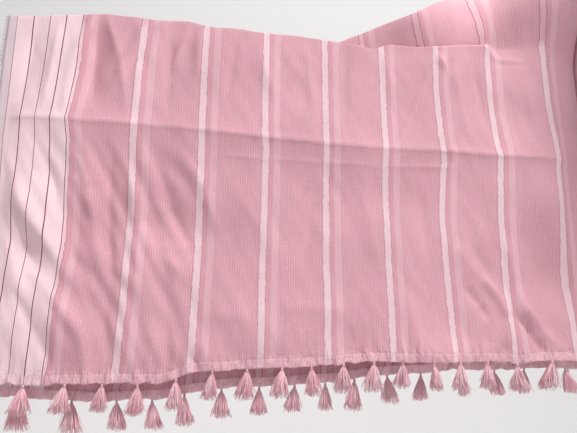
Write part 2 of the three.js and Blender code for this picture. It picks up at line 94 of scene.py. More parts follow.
# The packing crease: its height at each X.
CREASE_COLUMNS = ("x", "z")
CREASE = np.array([(-10, -153), (93, -152), (180, -153), (276, -155), (365, -160), (456, -163),
                   (544, -164), (631, -163), (713, -165), (840, -161)], float)
# Soft folds. Columns: x1, z1, x2 and z2 of the fold's line, how wide, and how far out it comes.
FOLDS = np.array([
    (126, 30, 118, -110, 22, -5), (170, 20, 150, -120, 22, 4), (205, 20, 200, -60, 20, 3),
    (245, 24, 238, -60, 22, -4), (-10, -250, 110, -330, 20, 4), (-10, -300, 150, -400, 22, -4),
    (10, -350, 190, -470, 22, 5), (120, -210, 230, -300, 24, -3), (607, -18, 560, -130, 20, -3),
    (664, -335, 722, -420, 26, -6), (752, -395, 785, -450, 14, -4), (640, -300, 675, -440, 26, 4),
    (96, -295, 165, -288, 40, -11), (205, -438, 290, -462, 30, 7), (330, -430, 430, -440, 34, 4),
    (556, -462, 640, -462, 34, 7), (740, -452, 822, -455, 30, 6), (20, -400, 80, -440, 26, 5),
    (742, -222, 812, -228, 44, 10), (746, -344, 812, -348, 44, -13),
    (150, -292, 340, -298, 44, -7), (400, -240, 640, -240, 44, -4), (380, -122, 440, -122, 34, 5),
    (715, -135, 800, -138, 36, 5), (0, -285, 110, -275, 50, 8), (0, -520, 110, -520, 70, -8),
], float)
# Narrower ripples and creases, which the wall of the solid doesn't carry. Their crests are narrow.
# The columns are those of the soft folds.
CREST, CREST_FALL = 0.15, 1.3  # how round the crest is and how fast it falls, for the fold's width
FOLD_ENDS = 0.12  # how much of a fold's height is left at its ends, before the sine
FINE_FOLDS = np.array([
    # Fine lines pressed in beside the packing crease, and the diagonal one over it.
    (301, -188, 360, -190, 3, 1.0), (360, -190, 520, -190, 4, 1.0), (540, -190, 640, -186, 4, 1.2),
    (170, -318, 300, -322, 4, 1.0), (715, -9, 770, -5, 4, -1.8), (603, -37, 569, -114, 5, -2.6),
    (569, -114, 545, -155, 5, -2.2), (612, -37, 552, -155, 6, 2.2),
    # Upper left, below the top fold.
    (112, 14, 88, -60, 12, 7.0), (88, -60, 92, -140, 12, 4.0), (116, 0, 124, -120, 16, -9.0),
    (128, 14, 158, -60, 10, 6.5), (158, -60, 172, -130, 10, 5.0), (170, -10, 146, -70, 10, -5.0),
    (178, 0, 184, -130, 12, 5.2), (196, 2, 172, -70, 9, -5.5), (222, 5, 226, -120, 12, -5.2),
    (244, 2, 228, -60, 8, 5.0), (262, 8, 262, -70, 10, 4.6), (34, -10, 26, -120, 14, -5.5),
    (66, 0, 60, -140, 12, 5.5), (315, -10, 306, -100, 10, -4.0), (420, -20, 432, -130, 12, 4.0),
    (480, -10, 476, -120, 12, -4.3), (655, -20, 668, -140, 12, 3.6), (690, -15, 700, -110, 10, -3.6),
    (350, -20, 372, -90, 10, 3.6), (540, -15, 548, -70, 9, 3.6), (628, -2, 642, -26, 5, 5.5),
    (652, -4, 644, -30, 5, -4.5),
    (770, -40, 776, -140, 14, 3.9), (740, -60, 744, -150, 12, -3.0),
    # Diagonal ripples of the lower left, from the end towards the hem.
    (0, -285, 40, -352, 12, 5.1), (40, -352, 60, -400, 12, 3.9), (30, -280, 58, -338, 11, -4.8),
    (25, -240, 53, -289, 12, 6.3), (53, -289, 100, -350, 12, 6.3), (100, -350, 118, -372, 12, 4.5),
    (8, -190, 25, -240, 12, 4.5), (70, -205, 88, -262, 12, -6.3), (88, -262, 113, -336, 12, -6.9),
    (113, -336, 150, -372, 12, -5.1), (112, -200, 125, -245, 12, 6.6), (125, -245, 143, -325, 12, 7.2),
    (143, -325, 190, -372, 12, 5.4), (155, -200, 155, -290, 12, -5.7), (155, -290, 168, -372, 12, -6.0),
    (60, -355, 85, -378, 10, 4.8), (85, -378, 110, -405, 10, 5.1), (110, -405, 138, -435, 10, 4.8),
    (138, -435, 146, -478, 9, 4.2), (44, -385, 70, -420, 10, -4.5), (70, -420, 104, -470, 10, -4.5),
    (182, -240, 190, -290, 11, 5.4), (190, -290, 200, -375, 11, 5.4), (180, -225, 199, -290, 12, 4.5),
    (199, -290, 222, -330, 12, 5.1), (222, -330, 256, -357, 12, 4.5), (212, -200, 236, -262, 13, -6.0),
    (236, -262, 262, -318, 13, -6.0), (248, -185, 280, -245, 13, 5.4), (280, -245, 297, -300, 13, 4.5),
    (160, -400, 176, -470, 9, -4.2), (190, -410, 205, -480, 10, 4.2), (236, -400, 250, -475, 12, -4.2),
    (268, -455, 285, -482, 8, -4.8), (284, -440, 296, -478, 8, 3.9),
    # Sagging folds of the lower right.
    (675, -345, 697, -372, 9, 7.5), (697, -372, 708, -400, 9, 7.8), (708, -400, 703, -442, 9, 6.3),
    (650, -362, 668, -385, 10, -6.9), (668, -385, 680, -405, 10, -7.2), (680, -405, 672, -442, 10, -5.4),
    (734, -385, 754, -417, 6, 7.2), (754, -417, 774, -443, 6, 6.6), (722, -397, 740, -427, 6, -6.9),
    (740, -427, 758, -452, 6, -6.3), (715, -285, 727, -357, 12, 5.4), (727, -357, 742, -425, 11, 5.1),
    (640, -300, 672, -350, 16, 4.5), (665, -300, 690, -345, 12, -5.0),
    (540, -455, 660, -450, 26, 5.4), (290, -408, 345, -410, 24, 4.8), (385, -395, 470, -400, 24, 4.2),
    (330, -250, 380, -330, 20, 3.3), (430, -240, 420, -340, 18, -3.3), (500, -230, 520, -330, 18, 3.6),
    (590, -230, 600, -330, 16, -3.6), (560, -380, 575, -450, 12, 3.0), (480, -420, 486, -465, 10, -3.3),
], float)
# Where threads that should be upright stand off: at each height, how far each X is moved.
SWAY_X = np.array([-4, 11, 33, 55, 78, 100, 188, 276, 365, 540, 628, 716, 804, 838], float)
SWAY_Z = np.array([-520, -400, -325, -265, -180, -150, -60, 20, 110], float)
SWAY = np.array([
    (3, 3, 3, 1, -2, -3, -4, 0, 1, 3, -2, -2, 5, 0),
    (9, 8, 7, 5, 1, 0, 0, 2, 1, 2, -2, -2, 6, 0),
    (13, 12, 9, 6, 5, 4, 0, 3, 1, 0, -6, -5, 5, 0),
    (10, 9, 5, 4, 3, 1, 0, 2, 2, 0, -6, -6, 5, 0),
    (4, 4, 2, 0, -3, -3, -4, 1, 2, -1, -1, -3, 5, 0),
    (3, 4, 1, -2, -5, -8, -4, 0, 0, 0, -2, -4, 8, 0),
    (0, 2, 0, 0, -2, -2, -4, -1, 0, 0, -4, -7, 4, 0),
    (0, 0, 0, 0, 0, 0, 0, 0, 0, -1, -2, -5, 3, 0),
    (0, 0, 0, 0, 0, 0, 0, 0, 0, 0, 0, 0, 0, 0),
], float)
# Behind the front roll the raised part has slipped to the left, so its stripes meet it further on:
# at each X, by how much at 40 mm up, and how much more for each millimetre over that.
SLIP_FROM = 40
SLIP = np.array([(440, 0, 0), (507, 31, 0.1), (585, 34, 0.2), (650, 31, 0.35), (700, 15, 0.35),
                 (760, 7, 0.15), (838, 0, 0)], float)
SLIP_FADE = 160  # it is gone this far down the back
# Rows of the section's parts, from the front hem over the top to the back hem.
SPREAD_COLUMNS = 262
ROWS = {"lower": 58, "below": 16, "upper": 34, "roll": 8, "tuck": 3, "valley": 5, "rise": 12,
        "top": 8, "lean": 9, "back": 14}
BELOW_CREASE = 38  # height of the finer rows under the packing crease
# The turned and stitched edge: height over the hem's lower edge, and thickness there.
HEM = np.array([(0, 0.7), (0.6, 1.3), (3, 1.5), (6, 1.6), (9, 1.5), (11.2, 1.2), (12.2, 0.5)], float)


def mix(a, b, t):
    return a + (b - a) * t


def ease(a, b, x):
    t = np.clip((x - a) / (b - a), 0, 1)
    return t * t * (3 - 2 * t)


def along(table, columns, column, x):
    """A smooth curve through one column of a table whose first column is x."""
    xs, ys = table[:, 0], table[:, columns.index(column)]
    i = int(np.clip(np.searchsorted(xs, x) - 1, 0, len(xs) - 2))
    span = xs[i + 1] - xs[i]

    def slope(k):
        p, q = max(0, k - 1), min(len(xs) - 1, k + 1)
        return (ys[q] - ys[p]) / (xs[q] - xs[p]) * span

    t = float(np.clip((x - xs[i]) / span, 0, 1))
    return (ys[i] * (2 * t**3 - 3 * t**2 + 1) + slope(i) * (t**3 - 2 * t**2 + t)
            + ys[i + 1] * (3 * t**2 - 2 * t**3) + slope(i + 1) * (t**3 - t**2))


def folds_out(table, x, z, sharp=False):
    """How far the folds of a table bring the cloth forward; a sharp fold has a narrow crest."""
    out = np.zeros_like(z)
    for x1, z1, x2, z2, wide, high in table:
        dx, dz = x2 - x1, z2 - z1
        t = np.clip(((x - x1) * dx + (z - z1) * dz) / (dx * dx + dz * dz), 0, 1)
        away = np.hypot(x - x1 - t * dx, z - z1 - t * dz)
        ends = np.sin(np.pi * np.minimum(0.5, FOLD_ENDS + np.minimum(t, 1 - t)))
        off = away / wide
        fall = (np.sqrt(off ** 2 + CREST ** 2) - CREST) * CREST_FALL if sharp else off ** 2
        out += high * ends * np.exp(-fall)
    return out


# The packing crease: heights and widths of its ridge, of the line pressed in it, and of the swell.
CREASE_RIDGE = {"high": 7.2, "uneven": 1.8, "each": 40, "above": 21, "below": 27}
CREASE_LINE = {"high": 1.1, "wide": 2.6}
CREASE_SWELL = {"high": 2.6, "wide": 46}
# Ripples: size along and up the cloth, where in the noise, and height.
RIPPLES = ((46, 70, 3.1, 1.1), (19, 33, 7.7, 0.45))
SLANT, SLANT_WIDE, SLANT_LONG = 0.55, 17, 75
SLANT_HIGH = {"elsewhere": 0.9, "end band": 2.6, "lower left": 4.6}
PUCKER_WIDE, PUCKER_HIGH, PUCKER_FADE = 7.5, 4.2, 16
RAGGED_WIDE, RAGGED_HIGH, RAGGED_FADE = 12, 3.0, 9


def crease_out(x, z):
    """The packing crease: a sharp ridge, longer on its lower side, on a broad one."""
    over = z - along(CREASE, CREASE_COLUMNS, "z", x)
    high = CREASE_RIDGE["high"] + CREASE_RIDGE["uneven"] * noise.noise((x / CREASE_RIDGE["each"], 1.5, 0))
    ridge = high * np.exp(np.where(over > 0, -over / CREASE_RIDGE["above"], over / CREASE_RIDGE["below"]))
    line = CREASE_LINE["high"] * np.exp(-abs(over) / CREASE_LINE["wide"])
    return ridge + line + CREASE_SWELL["high"] * np.exp(-((over / CREASE_SWELL["wide"]) ** 2))


def wrinkles_out(x, z, v):
    """Small unevenness: ripples, slanted and stronger low on the left, and puckers along the hems."""
    out = np.zeros_like(z)
    slanted = ease(-170, -210, z) * float(ease(300, 230, x))
    at_left = mix(SLANT_HIGH["end band"], SLANT_HIGH["lower left"], float(ease(80, 115, x)))
    for i in range(len(z)):
        soft = sum(noise.noise((x / wide, z[i] / tall, seed)) * high for wide, tall, seed, high in RIPPLES)
        turned_x, turned_z = x + SLANT * z[i], z[i] - SLANT * x
        slant = noise.noise((turned_x / SLANT_WIDE, turned_z / SLANT_LONG, 4.2))
        soft += slant * mix(SLANT_HIGH["elsewhere"], at_left, slanted[i])
        from_hem = min(v[i], CLOTH_WIDTH - v[i])
        fading = math.exp(-max(0, from_hem - HEM_HEIGHT) / PUCKER_FADE)
        pucker = noise.noise((x / PUCKER_WIDE, 0.3 * from_hem / HEM_HEIGHT, 11.0)) * PUCKER_HIGH * fading
        out[i] = soft + pucker
    return out


def leans(x, z, top):
    """The raised part of the top fold leans forward, from the middle of the cloth to the pleats."""
    return -LEAN * float(ease(LEAN_FROM, LEAN_TO, x)) * ease(0, max(top, LEAN_RISE), z)


def spread_section(x):
    """One section, row by row: X, Y and Z, then length across the cloth and along it."""
    roll, top, front_hem, back_hem = (along(STATIONS, STATION_COLUMNS, c, x) for c in STATION_COLUMNS[1:])
    crease_z = along(CREASE, CREASE_COLUMNS, "z", x)
    valley = (2 * roll + 2 * top - front_hem - back_hem - CLOTH_WIDTH) / 2
    folded = float(ease(2 * TURN_RADIUS, 5 * TURN_RADIUS, roll - valley))
    at_pleats = float(ease(SPREAD_END - CLOSING, SPREAD_END, x))
    top_y = mix(TOP_Y, JOIN_Y - GAP_TOP / 2, at_pleats)
    radius = mix(TURN_RADIUS, GAP_TOP / 2, at_pleats)
    low = min(valley, roll - 2 * TURN_RADIUS)
    knee, top_knee = roll - TURN_RADIUS, top - radius

    def front_y(t):
        return mix(mix(0, -HEM_FORWARD, t), JOIN_Y - mix(GAP_TOP, GAP_HEM, t) / 2, at_pleats)

    def back_y(t):
        return mix(mix(BACK_Y, HEM_APART, t), JOIN_Y + mix(GAP_TOP, GAP_HEM, t) / 2, at_pleats)

    heights = [front_hem + h for h, _ in HEM]
    for z_to, part in ((crease_z - BELOW_CREASE, "lower"), (crease_z, "below"), (knee, "upper")):
        heights += list(np.linspace(heights[-1], z_to, ROWS[part] + 1)[1:])
    rows = [(front_y((knee - z) / (knee - front_hem)), z) for z in heights]
    start, first_row = rows[-1], len(rows) - 1
    tuck = []

    def turn(y, z, r, way, n):
        for i in range(1, n + 1):
            a = math.pi * (1 - i / n)
            tuck.append((y + r + r * math.cos(a), z + way * r * math.sin(a)))

    turn(0, knee, TURN_RADIUS, 1, ROWS["roll"])
    for i in range(1, ROWS["tuck"] + 1):
        tuck.append((2 * TURN_RADIUS, mix(knee, low + TURN_RADIUS, i / ROWS["tuck"])))
    turn(2 * TURN_RADIUS, low + TURN_RADIUS, TURN_RADIUS, -1, ROWS["valley"])
    open_top = mix(knee, top_knee, TUCK_OPEN)
    for i, (y, z) in enumerate(tuck):
        t = (i + 1) / len(tuck)
        open_y = mix(start[0], top_y, float(ease(0, 1, t)) * TUCK_REACH)
        rows.append((mix(open_y, y + start[0] * (1 - folded), folded),
                     mix(mix(knee, open_top, t), z, folded)))
    bottom, last_row = rows[-1], len(rows) - 1
    for i in range(1, ROWS["rise"] + 1):
        t = i / ROWS["rise"]
        rows.append((mix(bottom[0], top_y, t), mix(bottom[1], top_knee, t)))
    wide = (back_y(0) - top_y) / 2
    for i in range(1, ROWS["top"] + 1):
        a = math.pi * (1 - i / ROWS["top"])
        rows.append((top_y + wide + wide * math.cos(a), top_knee + radius * math.sin(a)))
    lean_end = min(bottom[1], -2 * TURN_RADIUS)
    heights = [top_knee]
    for z_to, n in ((lean_end, ROWS["lean"]), (back_hem + HEM[-1, 0], ROWS["back"])):
        heights += list(np.linspace(heights[-1], z_to, n + 1)[1:])
    heights += [back_hem + h for h, _ in HEM[-2::-1]]
    rows += [(back_y((top_knee - z) / (top_knee - back_hem)), z) for z in heights[1:]]
    y, z = np.array(rows).T
    v = np.concatenate([[0], np.cumsum(np.hypot(np.diff(y), np.diff(z)))])
    v *= CLOTH_WIDTH / v[-1]
    fade = float(ease(0, END_FADE, x - SPREAD_START - 6) * ease(0, SEAM_FADE, SPREAD_END - x))
    out = folds_out(FOLDS, x, z) + folds_out(FINE_FOLDS, x, z, sharp=True)
    out = out + crease_out(x, z) + wrinkles_out(x, z, v)
    moved = np.array([np.interp(x, SWAY_X, row) for row in SWAY])
    sway = np.interp(z, SWAY_Z, moved) * float(ease(SPREAD_END, SPREAD_END - 30, x))
    from_hem = np.minimum(v, CLOTH_WIDTH - v)
    ragged = noise.noise((x / RAGGED_WIDE, 5.0, 0)) * RAGGED_HIGH * np.exp(-from_hem / RAGGED_FADE)
    slip = np.interp(x, SLIP[:, 0], SLIP[:, 1]) + np.interp(x, SLIP[:, 0], SLIP[:, 2]) * (z - SLIP_FROM)
    behind = ease(top - SLIP_FADE, top, np.where(v < v[last_row], top, z))
    crossed = ease(v[first_row], v[last_row], v) * behind
    points = np.column_stack([x + sway, y - out * fade + leans(x, z, top), z + ragged])
    return points, v, x + ALONG_START + slip * crossed


def facing(points):
    """The direction that a grid of points faces, at each of them."""
    du = np.empty_like(points)
    dv = np.empty_like(points)
    du[1:-1], du[0], du[-1] = points[2:] - points[:-2], points[1] - points[0], points[-1] - points[-2]
    dv[:, 1:-1] = points[:, 2:] - points[:, :-2]
    dv[:, 0], dv[:, -1] = points[:, 1] - points[:, 0], points[:, -1] - points[:, -2]
    normal = np.cross(du, dv)
    return normal / np.maximum(np.linalg.norm(normal, axis=2, keepdims=True), 1e-9)


def shell(name, points, lengths, widths, thick):
    """A closed thin shell round a grid of points, with a UV map of metres along and across the cloth."""
    cols, rows = points.shape[:2]
    normal = facing(points)
    half = np.broadcast_to(np.asarray(thick, float), (cols, rows))[..., None] / 2
    outside, inside = points + normal * half, points - normal * half
    vertices = np.concatenate([outside.reshape(-1, 3), inside.reshape(-1, 3)]) * MM
    ids = np.arange(cols * rows).reshape(cols, rows)
    inner = ids + cols * rows
    a, b, c, d = ids[:-1, :-1], ids[1:, :-1], ids[1:, 1:], ids[:-1, 1:]
    faces = [np.stack([a, b, c, d], -1).reshape(-1, 4)]
    a, b, c, d = inner[:-1, :-1], inner[1:, :-1], inner[1:, 1:], inner[:-1, 1:]
    faces.append(np.stack([a, d, c, b], -1).reshape(-1, 4))
    for edge, back in ((ids[:, 0], inner[:, 0]), (ids[::-1, -1], inner[::-1, -1]),
                       (ids[::-1, :][-1, ::-1], inner[0, ::-1]), (ids[-1, :], inner[-1, :])):
        faces.append(np.stack([edge[:-1], back[:-1], back[1:], edge[1:]], -1))
    faces = np.concatenate(faces)
    mesh = bpy.data.meshes.new(name)
    mesh.from_pydata(vertices.tolist(), [], faces.tolist())
    uv = np.column_stack([np.asarray(lengths).ravel(), np.asarray(widths).ravel()]) * MM
    uv = np.concatenate([uv, uv])
    layer = mesh.uv_layers.new(name="cloth")
    corner = np.empty(len(mesh.loops), np.int32)
    mesh.loops.foreach_get("vertex_index", corner)
    layer.data.foreach_set("uv", uv[corner].astype(np.float32).ravel())
    mesh.polygons.foreach_set("use_smooth", np.ones(len(mesh.polygons), bool))
    mesh.update()
    made = bpy.data.objects.new(name, mesh)
    bpy.context.scene.collection.objects.link(made)
    return made


def srgb(text):
    """The linear colour of an sRGB hex value."""
    parts = [int(text[i:i + 2], 16) / 255 for i in (0, 2, 4)]
    return [p / 12.92 if p <= 0.04045 else ((p + 0.055) / 1.055) ** 2.4 for p in parts] + [1]


def material(name, inputs):
    """A new material and its shader, with the shader's inputs."""
    made = bpy.data.materials.new(name)
    made.use_nodes = True
    shader = made.node_tree.nodes["Principled BSDF"]
    for key, value in inputs.items():
        shader.inputs[key].default_value = value
    return made, shader


def put(tree, kind, inputs=(), stops=(), between="LINEAR", **settings):
    """Adds a node with its settings and inputs. An input is a value, a socket or a node's first output."""
    made = tree.nodes.new(kind)
    for key, value in settings.items():
        setattr(made, key, value)
    for key, value in dict(inputs).items():
        if isinstance(value, bpy.types.Node):
            value = value.outputs[0]
        if isinstance(value, bpy.types.NodeSocket):
            tree.links.new(value, made.inputs[key])
        else:
            made.inputs[key].default_value = value
    if stops:
        made.color_ramp.interpolation = between
        elements = made.color_ramp.elements
        while len(elements) < len(stops):
            elements.new(0.5)
        for element, (position, level) in zip(elements, stops):
            element.position = position
            element.color = level if isinstance(level, list) else [level, level, level, 1]
    return made


# Light cotton and silk plain weave in pale pink, with a soft sheen. Its pattern is woven in: five
# dark lines over a white band at each end, a ribbon stripe every 88 mm with a light band beside it,
# and pinstripes. Threads 0.45 mm apart are drawn 0.9 mm apart so that they show. To the eye it is
# matt and a little cloudy, with ribbons that stand up from it and puckers along the stitched hems.
RIBBON_FIRST, RIBBON_PITCH = 188, 88
RIBBON_WANDER = 7.5  # how far a ribbon's edge may wander
PIN_PITCH = 3.3
THREADS_DRAWN = 0.9
END_BAND = 120  # length that the colours of the end band are worked out over
BAND_LINES, BAND_LINE_FIRST, BAND_LINE_PITCH, BAND_LINE_WIDE = 5, 11, 22.25, 1.2
FRAYED = 10.4
BAND_OVER = (100.5, 101)  # past this length from the end the ribbons begin
TURNED_OVER = (488, 500)  # across the cloth, past these the ribbons are pink with dark edges
HEM_EDGE = (12.2, 11.2)  # where the paler hem begins, measured from its lower edge
# Share of the pale hem pink. The doubled cloth of a hem is paler, and the back hem, which lies in the front
# layer's shadow, is made paler still as painted light.
HEM_PALE_AND_PAINTED_LIGHT = {"front": 0.45, "back": 1.0}
PUCKER_ZONE = (22, 12)
SEAM_SCALE = 50  # the seam's shadow is worked out over 1 / 50 m from the hem's edge
# How fine the noises are, for each metre: along the cloth and across it, or the same both ways.
EDGE_NOISE, SLUB_NOISE, PULL_NOISE = (60, 90, 0), (700, 45, 0), (150, 60, 0)
CLOUD_NOISE, GRAIN_NOISE, FUZZ_NOISE = 9, 560, 1400
# How dark and how light each of them makes the cloth.
CLOUD_TONE, SLUB_TONE, GRAIN_TONE = (0.93, 1.05), (0.955, 1.035), (0.93, 1.07)
# Relief: strength, and height in millimetres.
WEAVE_RELIEF, RIBBON_RELIEF, PUCKER_RELIEF = (0.5, 0.25), (0.6, 0.5), (1.0, 6)
PINK, DARK, PALE, RIBBON = srgb("E1A5B1"), srgb("C8848F"), srgb("EAB7C1"), srgb("F7D2D9")
WHITE, LINE, EDGE, EDGE_PINK = srgb("FFDCE3"), srgb("86303F"), srgb("B58F99"), srgb("A85F6E")
SHEER, PIN, HEM_PINK = srgb("E6CFD5"), srgb("F4D6DD"), srgb("FFCFD8")
# Share of the pitch, and colour there.
LIGHT_BAND = [(0.63, PINK), (0.645, PALE), (0.742, PALE), (0.748, PINK), (1.0, PINK)]
STRIPES = [(0.0, PINK), (0.435, PINK), (0.442, DARK), (0.452, RIBBON), (0.548, RIBBON),
           (0.558, DARK), (0.568, PINK), *LIGHT_BAND]
STRIPES_OVER = [(0.0, PINK), (0.435, PINK), (0.443, EDGE_PINK), (0.456, PALE), (0.544, PALE),
                (0.557, EDGE_PINK), (0.565, PINK), *LIGHT_BAND]
PINS = [(0.0, 1.0), (0.42, 1.0), (0.44, 0.0), (0.75, 0.0), (0.77, 1.0)]
RAISED = [(0.0, 0.0), (0.442, 0.0), (0.456, 1.0), (0.544, 1.0), (0.558, 0.0), (1.0, 0.0)]
SEAM_SHADE = [(0.0, 1.0), (0.53, 1.0), (0.59, 0.88), (0.66, 1.0), (1.0, 1.0)]
MATH, SCALED, RANGE = "ShaderNodeMath", "ShaderNodeVectorMath", "ShaderNodeMapRange"
NOISE, RAMP, BLEND = "ShaderNodeTexNoise", "ShaderNodeValToRGB", "ShaderNodeMix"
cloth_material, shader = material("pink_plain_weave", {
    "Roughness": 0.58, "Specular IOR Level": 0.25, "Sheen Weight": 0.22, "Sheen Roughness": 0.45,
    "Sheen Tint": srgb("FFC6D0"), "Subsurface Weight": 0.06, "Subsurface Radius": (1, 0.4, 0.45),
    "Subsurface Scale": 0.003})
tree = cloth_material.node_tree
place = put(tree, "ShaderNodeUVMap", uv_map="cloth")
apart = put(tree, "ShaderNodeSeparateXYZ", {0: place})
u, v = apart.outputs[0], apart.outputs[1]

# Where a place lies: in its pitch, from the nearer end and from the nearer hem.
edge_place = put(tree, SCALED, {0: place, 1: EDGE_NOISE}, operation="MULTIPLY")
edge_noise = put(tree, NOISE, {"Vector": edge_place, "Scale": 1, "Detail": 7, "Roughness": 0.85})
centred = put(tree, MATH, {0: edge_noise, 1: 0.5}, operation="SUBTRACT")
wobble = put(tree, MATH, {0: centred, 1: RIBBON_WANDER * MM}, operation="MULTIPLY")
along_cloth = put(tree, MATH, {0: u, 1: wobble}, operation="ADD")
first_pitch = (RIBBON_FIRST - RIBBON_PITCH / 2) * MM
past_first = put(tree, MATH, {0: along_cloth, 1: first_pitch}, operation="SUBTRACT")
pitches = put(tree, MATH, {0: past_first, 1: 1 / (RIBBON_PITCH * MM)}, operation="MULTIPLY")
in_pitch = put(tree, MATH, {0: pitches}, operation="FRACT")
to_far_end = put(tree, MATH, {0: CLOTH_LENGTH * MM, 1: u}, operation="SUBTRACT")
from_end = put(tree, MATH, {0: u, 1: to_far_end}, operation="MINIMUM")
to_back_hem = put(tree, MATH, {0: CLOTH_WIDTH * MM, 1: v}, operation="SUBTRACT")
from_hem = put(tree, MATH, {0: v, 1: to_back_hem}, operation="MINIMUM")

# Ribbons, pinstripes, end bands and hems.
over_fold = put(tree, RANGE, {0: v, 1: TURNED_OVER[0] * MM, 2: TURNED_OVER[1] * MM})
stripes = put(tree, RAMP, {0: in_pitch}, STRIPES)
stripes_over = put(tree, RAMP, {0: in_pitch}, STRIPES_OVER)
ribbons = put(tree, BLEND, {0: over_fold, 6: stripes, 7: stripes_over}, data_type="RGBA")
pin_area = put(tree, RAMP, {0: in_pitch}, PINS)
pin_count = put(tree, MATH, {0: u, 1: 1 / (PIN_PITCH * MM)}, operation="MULTIPLY")
pin_wave = put(tree, MATH, {0: pin_count, 1: 0.5}, operation="PINGPONG")
pin_line = put(tree, RANGE, {0: pin_wave, 1: 0.34, 2: 0.46}, interpolation_type="SMOOTHSTEP")
slub_place = put(tree, SCALED, {0: place, 1: SLUB_NOISE}, operation="MULTIPLY")
slub = put(tree, NOISE, {"Vector": slub_place, "Scale": 1, "Detail": 3})
grain = put(tree, NOISE, {"Vector": place, "Scale": GRAIN_NOISE, "Detail": 3, "Roughness": 0.7})
broken = put(tree, RANGE, {0: grain, 1: 0.38, 2: 0.62})
pins = put(tree, MATH, {0: pin_line, 1: pin_area}, operation="MULTIPLY")
faint = put(tree, MATH, {0: broken, 1: 0.75}, operation="MULTIPLY")
broken_pins = put(tree, MATH, {0: pins, 1: faint}, operation="MULTIPLY")
body = put(tree, BLEND, {0: broken_pins, 6: ribbons.outputs[2], 7: PIN}, data_type="RGBA")
band_stops = [(0.0, SHEER), (FRAYED / END_BAND, EDGE)]
for k in range(BAND_LINES):
    at = BAND_LINE_FIRST + BAND_LINE_PITCH * k
    if k:
        band_stops.append(((at - BAND_LINE_WIDE / 2) / END_BAND, LINE))
    band_stops.append(((at + BAND_LINE_WIDE / 2) / END_BAND, WHITE if k < BAND_LINES - 1 else PINK))
in_band = put(tree, MATH, {0: from_end, 1: 1 / (END_BAND * MM)}, operation="MULTIPLY")
band = put(tree, RAMP, {0: in_band}, band_stops, "CONSTANT")
past_band = put(tree, RANGE, {0: from_end, 1: BAND_OVER[0] * MM, 2: BAND_OVER[1] * MM})
cloth = put(tree, BLEND, {0: past_band, 6: band, 7: body.outputs[2]}, data_type="RGBA")
hem_start, hem_full = (edge * MM for edge in HEM_EDGE)
# Paler hems: real for the doubled cloth, and painted light on the back hem.
front_hem = put(tree, RANGE, {0: v, 1: hem_start, 2: hem_full, 3: 0.0, 4: HEM_PALE_AND_PAINTED_LIGHT["front"]})
back_hem = put(tree, RANGE, {0: to_back_hem, 1: hem_start, 2: hem_full, 3: 0.0, 4: HEM_PALE_AND_PAINTED_LIGHT["back"]})
pale_hem_and_painted_light = put(tree, MATH, {0: front_hem, 1: back_hem}, operation="ADD")
hemmed = put(tree, BLEND, {0: pale_hem_and_painted_light, 6: cloth.outputs[2], 7: HEM_PINK}, data_type="RGBA")

# Uneven tone: cloudy over hundreds of millimetres, streaky along the threads and grainy. Painted shade:
# darker just above the seam, where the puckered seam's shadow falls.
cloudy = put(tree, NOISE, {"Vector": place, "Scale": CLOUD_NOISE, "Detail": 3})
tones = []
for source, (darkest, palest) in ((cloudy, CLOUD_TONE), (slub, SLUB_TONE), (grain, GRAIN_TONE)):
    tones.append(put(tree, RANGE, {0: source, 1: 0.3, 2: 0.7, 3: darkest, 4: palest}))
cloud_tone, thread_tone, grain_tone = tones
# Painted shade: the seam's shadow, a darker band 10.6 to 13.2 mm from the hem's edge.
seam_place = put(tree, MATH, {0: from_hem, 1: SEAM_SCALE}, operation="MULTIPLY")
painted_seam_shade = put(tree, RAMP, {0: seam_place}, SEAM_SHADE)
broad_tone = put(tree, MATH, {0: cloud_tone, 1: thread_tone}, operation="MULTIPLY")
grain_and_seam_shade = put(tree, MATH, {0: grain_tone, 1: painted_seam_shade}, operation="MULTIPLY")
tone = put(tree, MATH, {0: broad_tone, 1: grain_and_seam_shade}, operation="MULTIPLY")
grey = put(tree, "ShaderNodeCombineColor", {0: tone, 1: tone, 2: tone})
toned = put(tree, BLEND, {0: 1.0, 6: hemmed.outputs[2], 7: grey}, data_type="RGBA", blend_type="MULTIPLY")

# Relief: the threads and pinstripes, the raised ribbons, and the cloth pulled together at the seam.
waves = 2 * math.pi / (THREADS_DRAWN * MM)
along_waves = put(tree, MATH, {0: put(tree, MATH, {0: u, 1: waves}, operation="MULTIPLY")}, operation="SINE")
across_waves = put(tree, MATH, {0: put(tree, MATH, {0: v, 1: waves}, operation="MULTIPLY")}, operation="SINE")
checks = put(tree, MATH, {0: along_waves, 1: across_waves}, operation="MULTIPLY")
streaks = put(tree, MATH, {0: slub, 1: 2.2}, operation="MULTIPLY")
threads = put(tree, MATH, {0: checks, 1: streaks}, operation="ADD")
weave = put(tree, MATH, {0: threads, 1: pins}, operation="ADD")
fuzz = put(tree, NOISE, {"Vector": place, "Scale": FUZZ_NOISE, "Detail": 2})
fuzzy = put(tree, MATH, {0: fuzz, 1: 0.6}, operation="ADD")
on_ribbon = put(tree, MATH, {0: put(tree, RAMP, {0: in_pitch}, RAISED), 1: past_band}, operation="MULTIPLY")
raised = put(tree, MATH, {0: on_ribbon, 1: fuzzy}, operation="MULTIPLY")
pulled_place = put(tree, SCALED, {0: place, 1: PULL_NOISE}, operation="MULTIPLY")
pulled = put(tree, NOISE, {"Vector": pulled_place, "Scale": 1, "Detail": 2})
near_seam = put(tree, RANGE, {0: from_hem, 1: PUCKER_ZONE[0] * MM, 2: PUCKER_ZONE[1] * MM})
in_and_out = put(tree, MATH, {0: pulled, 1: 0.5}, operation="SUBTRACT")
puckers = put(tree, MATH, {0: in_and_out, 1: near_seam}, operation="MULTIPLY")
bump = None
